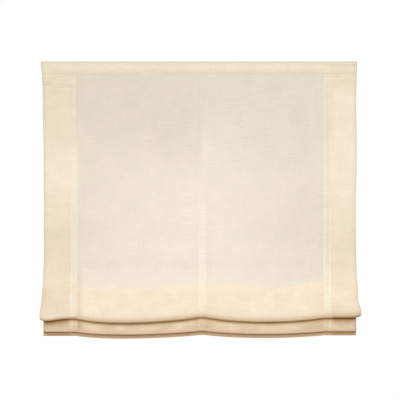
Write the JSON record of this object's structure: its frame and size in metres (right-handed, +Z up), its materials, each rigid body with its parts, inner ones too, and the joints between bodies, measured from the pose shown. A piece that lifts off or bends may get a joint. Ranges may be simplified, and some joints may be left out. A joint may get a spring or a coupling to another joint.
{
  "type": "roman blind",
  "caption": "Soft roman blind with turned hems, drawn up into loose folds below a slim head rail with a chain-driven winding shaft, cord drums and wall brackets.",
  "frame": {"origin": "centre of the four bracket screw holes, on the wall plane", "axes": "+X to the right as seen from the room, +Y into the wall, +Z up"},
  "size_m": [1.0184, 0.062, 0.8774],
  "materials": {
    "cloth": "open linen weave",
    "tape": "woven tape",
    "hook_tape": "hook pile",
    "cord": "braided polyester",
    "ring": "clear moulded",
    "rail": "white powder coat",
    "shaft": "mill",
    "white_plastic": "moulded",
    "grey_plastic": "moulded",
    "steel": "zinc plated",
    "bracket": "zinc plated",
    "lever": "zinc plated"
  },
  "bodies": {
    "blind": {"head_rail": "rail", "hook_tape": "hook_tape", "loop_tape": "tape", "cloth": "cloth", "idle_end_cap": "white_plastic", "brake_spring": "steel", "chain_housing": "white_plastic", "chain_cover": "white_plastic", "cover_screws": "steel", "bracket_left": "bracket", "bracket_right": "bracket", "ring_tape_left": "tape", "rings_left": "ring", "lift_cord_left": "cord", "cord_stop_left": "ring", "drum_carrier_left": "grey_plastic", "ring_tape_centre": "tape", "rings_centre": "ring", "lift_cord_centre": "cord", "cord_stop_centre": "ring", "drum_carrier_centre": "grey_plastic", "ring_tape_right": "tape", "rings_right": "ring", "lift_cord_right": "cord", "cord_stop_right": "ring", "drum_carrier_right": "grey_plastic"},
    "winder": {"square_shaft": "shaft", "shaft_bush": "white_plastic", "drive_core": "grey_plastic", "chain_wheel": "white_plastic", "drum_left": "white_plastic", "drum_centre": "white_plastic", "drum_right": "white_plastic", "cord_winding_left": "cord", "cord_winding_centre": "cord", "cord_winding_right": "cord"},
    "left_lock": {"lock_lever_left": "lever"},
    "right_lock": {"lock_lever_right": "lever"}
  },
  "joints": [
    {"name": "shaft_turn", "type": "hinge", "parent": "blind", "child": "winder", "pos_m": [0, -0.02025, -0.0018], "axis": [-1, 0, 0], "range_deg": [-3560, 4490]},
    {"name": "left_lock_turn", "type": "hinge", "parent": "blind", "child": "left_lock", "pos_m": [-0.3, -0.02025, 0.017], "axis": [0, 0, 1], "range_deg": [0, 90]},
    {"name": "right_lock_turn", "type": "hinge", "parent": "blind", "child": "right_lock", "pos_m": [0.3, -0.02025, 0.017], "axis": [0, 0, 1], "range_deg": [0, 90]}
  ]
}
